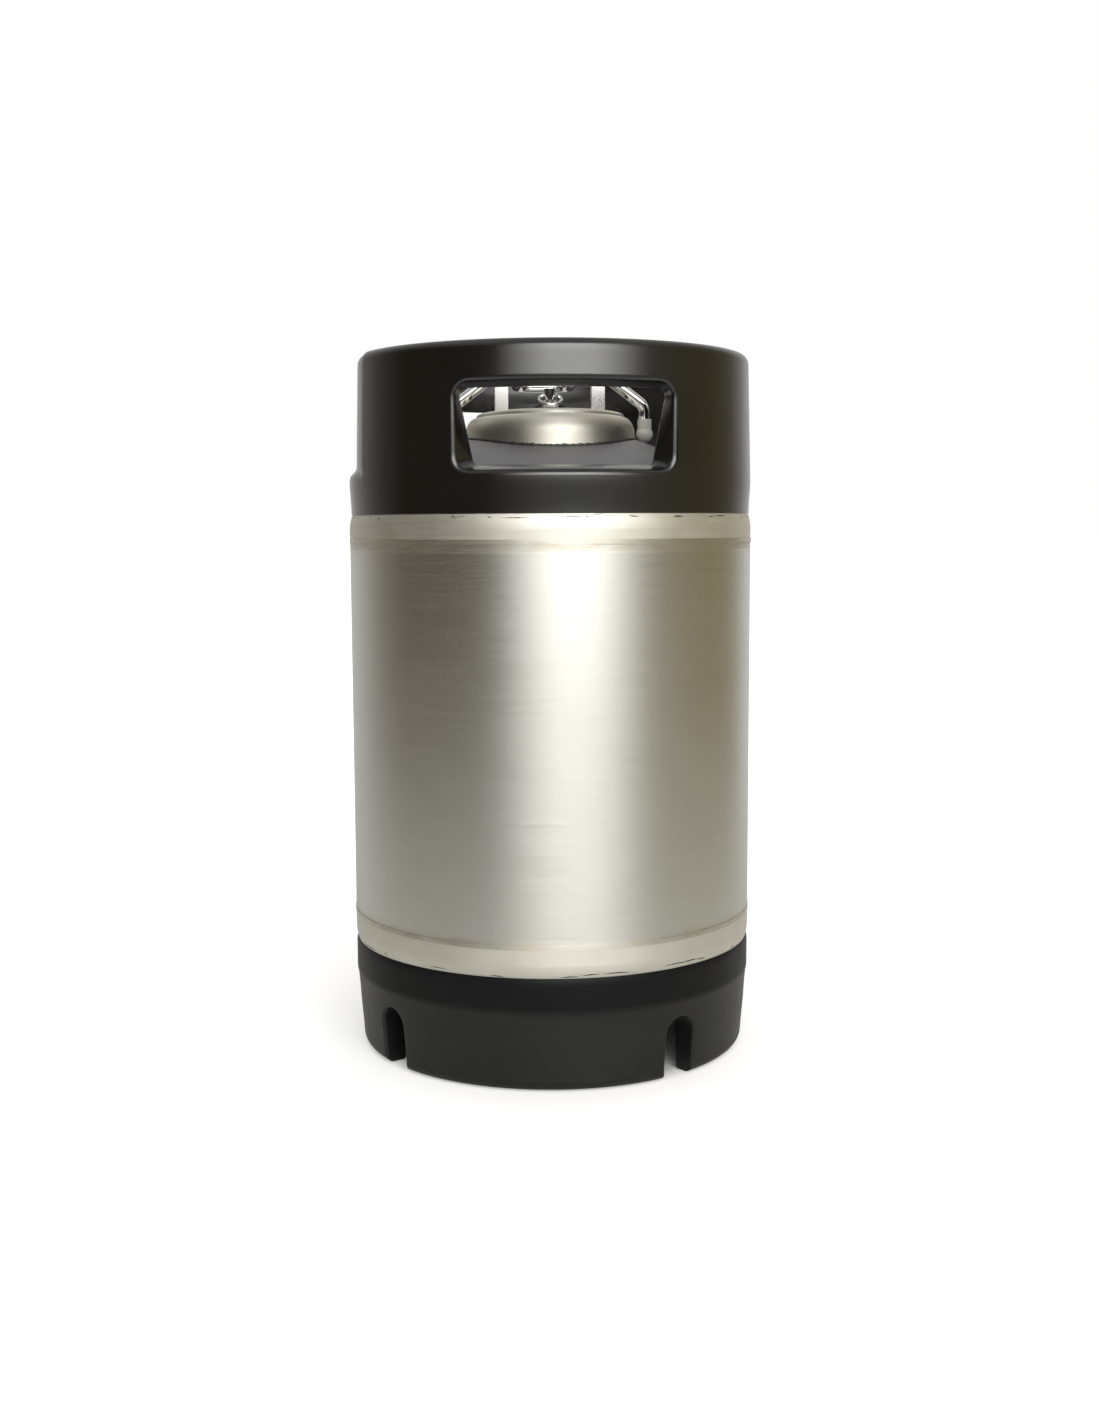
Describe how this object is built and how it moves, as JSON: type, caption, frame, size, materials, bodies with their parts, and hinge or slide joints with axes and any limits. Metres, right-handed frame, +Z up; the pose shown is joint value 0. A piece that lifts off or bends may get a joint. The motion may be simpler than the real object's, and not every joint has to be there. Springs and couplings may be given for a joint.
{
  "type": "beer keg",
  "caption": "Slim stainless beverage keg with a black rubber top and base, side handle windows, an oval bail-latched lid with a relief valve, and ball-lock gas and liquid posts.",
  "frame": {"origin": "centre of the rubber base's floor face", "axes": "+Z up along the keg's axis; -Y towards the front handle window; +X towards the liquid post"},
  "size_m": [0.2166, 0.2166, 0.3702],
  "materials": {
    "top_rubber": "moulded matt black rubber with a soft sheen",
    "base_rubber": "moulded matt dark grey rubber, scuffed",
    "foot_rubber": "pale moulded rubber",
    "seal_rubber": "smooth black seal rubber",
    "barrel_steel": "satin brushed round the barrel",
    "dome_steel": "satin",
    "neck_steel": "fine satin",
    "lid_steel": "fine satin",
    "valve_steel": "turned",
    "post_steel": "turned, bright",
    "spring_steel": "drawn wire",
    "polished_steel": "polished stainless steel"
  },
  "bodies": {
    "keg": {"rubber_top": "top_rubber", "rubber_base": "base_rubber", "top_dome": "dome_steel", "shell_barrel": "barrel_steel", "bottom_dome": "dome_steel", "hatch_neck": "neck_steel", "gas_fitting": "neck_steel", "gas_tube": "valve_steel", "gas_tube_oring": "seal_rubber", "gas_post": "post_steel", "gas_post_oring": "seal_rubber", "gas_spring": "spring_steel", "liquid_fitting": "neck_steel", "liquid_tube": "valve_steel", "liquid_tube_oring": "seal_rubber", "liquid_post": "post_steel", "liquid_post_oring": "seal_rubber", "liquid_spring": "spring_steel"},
    "lid": {"lid": "lid_steel", "lid_gasket": "seal_rubber", "bail_bracket": "lid_steel", "relief_body": "valve_steel", "relief_cap": "valve_steel", "relief_spring": "spring_steel"},
    "bail": {"bail_lever": "polished_steel", "bail_feet": "foot_rubber"},
    "relief": {"relief_stem": "polished_steel", "relief_seal": "seal_rubber"},
    "relief_ring": {"relief_ring": "polished_steel"},
    "gas_poppet": {"gas_poppet": "valve_steel", "gas_poppet_seal": "seal_rubber"},
    "liquid_poppet": {"liquid_poppet": "valve_steel", "liquid_poppet_seal": "seal_rubber"}
  },
  "joints": [
    {"name": "lid_drop", "type": "slide", "parent": "keg", "child": "lid", "axis": [0, 0, -1], "range_m": [0, 0.008]},
    {"name": "bail_lift", "type": "hinge", "parent": "lid", "child": "bail", "pos_m": [0, 0, 0.36], "axis": [1, 0, 0], "range_deg": [0, 95]},
    {"name": "relief_pull", "type": "slide", "parent": "lid", "child": "relief", "axis": [0, 0, 1], "range_m": [0, 0.003], "stiffness_N_per_m": 2000, "springref_m": -0.002, "deforming": ["relief_spring"]},
    {"name": "ring_swing", "type": "hinge", "parent": "relief", "child": "relief_ring", "pos_m": [0, 0, 0.3513], "axis": [-1, 0, 0], "range_deg": [0, 240]},
    {"name": "gas_poppet_press", "type": "slide", "parent": "keg", "child": "gas_poppet", "axis": [0, 0, -1], "range_m": [0, 0.004], "stiffness_N_per_m": 2000, "springref_m": -0.002, "deforming": ["gas_spring"]},
    {"name": "liquid_poppet_press", "type": "slide", "parent": "keg", "child": "liquid_poppet", "axis": [0, 0, -1], "range_m": [0, 0.004], "stiffness_N_per_m": 2000, "springref_m": -0.002, "deforming": ["liquid_spring"]}
  ],
  "couplings": [
    {"joint": "bail_lift", "follows": "lid_drop", "rad_per_m": 207.26}
  ]
}
